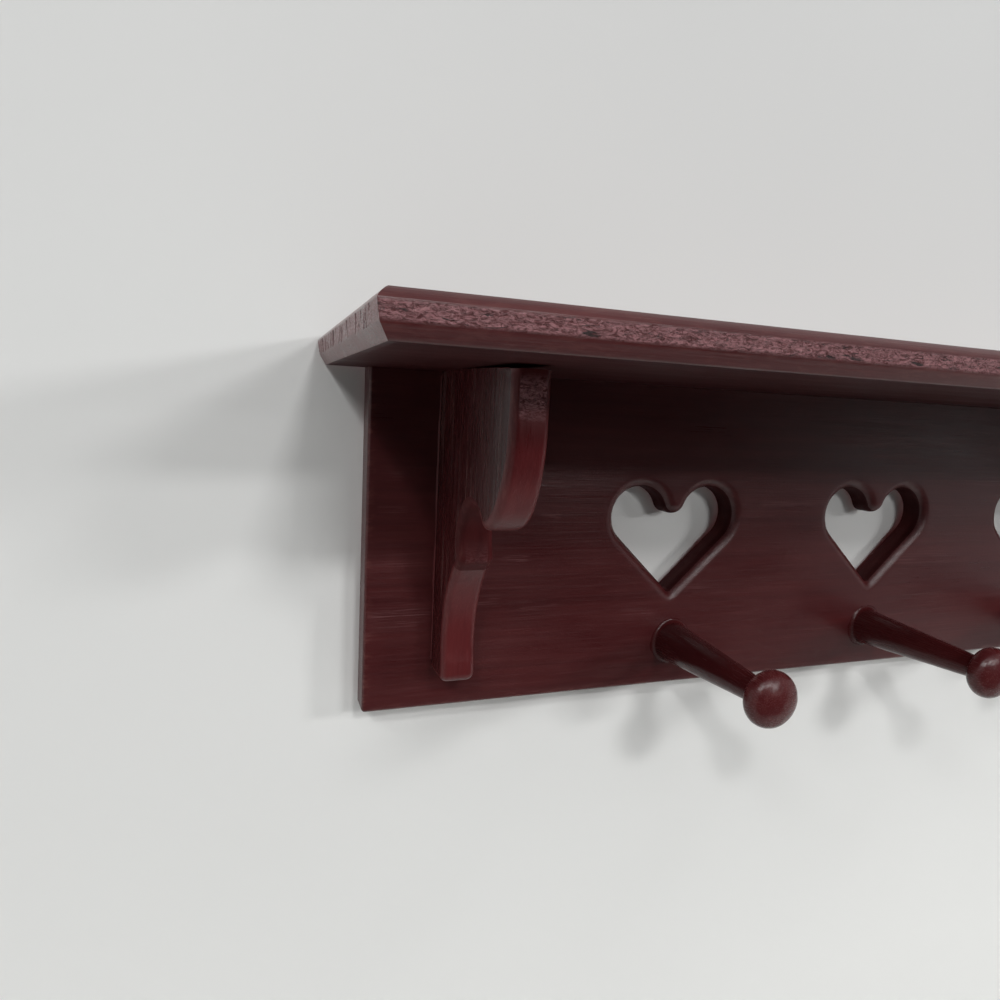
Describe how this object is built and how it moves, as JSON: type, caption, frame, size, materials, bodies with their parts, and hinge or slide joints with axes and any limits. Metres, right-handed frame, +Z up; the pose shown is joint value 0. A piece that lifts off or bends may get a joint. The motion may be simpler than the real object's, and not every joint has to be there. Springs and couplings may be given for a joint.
{
  "type": "shaker peg rail with shelf",
  "caption": "Wall board with heart-shaped piercings, a moulded shelf along its top edge on scrolled brackets, and turned pegs with flattened ball ends to hang things on.",
  "frame": {"origin": "on the wall plane (the rail's back face), midway between the two keyhole hangers, at the height where the wall screws' shanks sit", "axes": "+X to the right along the rail as seen from the front, +Y into the wall, so the front faces -Y, +Z up"},
  "size_m": [0.6206, 0.145, 0.1649],
  "materials": {
    "rail_paint": "burgundy brushed paint over wood, semi-gloss",
    "shelf_paint": "burgundy brushed paint over wood, semi-gloss, rough-sawn along the edge",
    "bracket_paint": "burgundy brushed paint over wood, semi-gloss, saw marks on the sides",
    "peg_paint": "burgundy brushed paint over wood, semi-gloss",
    "plug_paint": "burgundy brushed paint over wood, semi-gloss",
    "hanger_steel": "bright zinc-plated steel",
    "screw_steel": "plain steel wood screw"
  },
  "bodies": {
    "root": {"back_rail": "rail_paint", "shelf_board": "shelf_paint", "left_bracket": "bracket_paint", "left_bracket_upper_screw": "screw_steel", "left_bracket_lower_screw": "screw_steel", "left_hanger_plate": "hanger_steel", "left_hanger_upper_screw": "hanger_steel", "left_hanger_lower_screw": "hanger_steel", "right_bracket": "bracket_paint", "right_bracket_upper_screw": "screw_steel", "right_bracket_lower_screw": "screw_steel", "right_hanger_plate": "hanger_steel", "right_hanger_upper_screw": "hanger_steel", "right_hanger_lower_screw": "hanger_steel", "left_peg": "peg_paint", "middle_peg": "peg_paint", "right_peg": "peg_paint", "left_shelf_screw": "screw_steel", "left_shelf_plug": "plug_paint", "middle_shelf_screw": "screw_steel", "middle_shelf_plug": "plug_paint", "right_shelf_screw": "screw_steel", "right_shelf_plug": "plug_paint", "left_shelf_bracket_screw": "screw_steel", "left_shelf_bracket_plug": "plug_paint", "right_shelf_bracket_screw": "screw_steel", "right_shelf_bracket_plug": "plug_paint"}
  },
  "joints": []
}
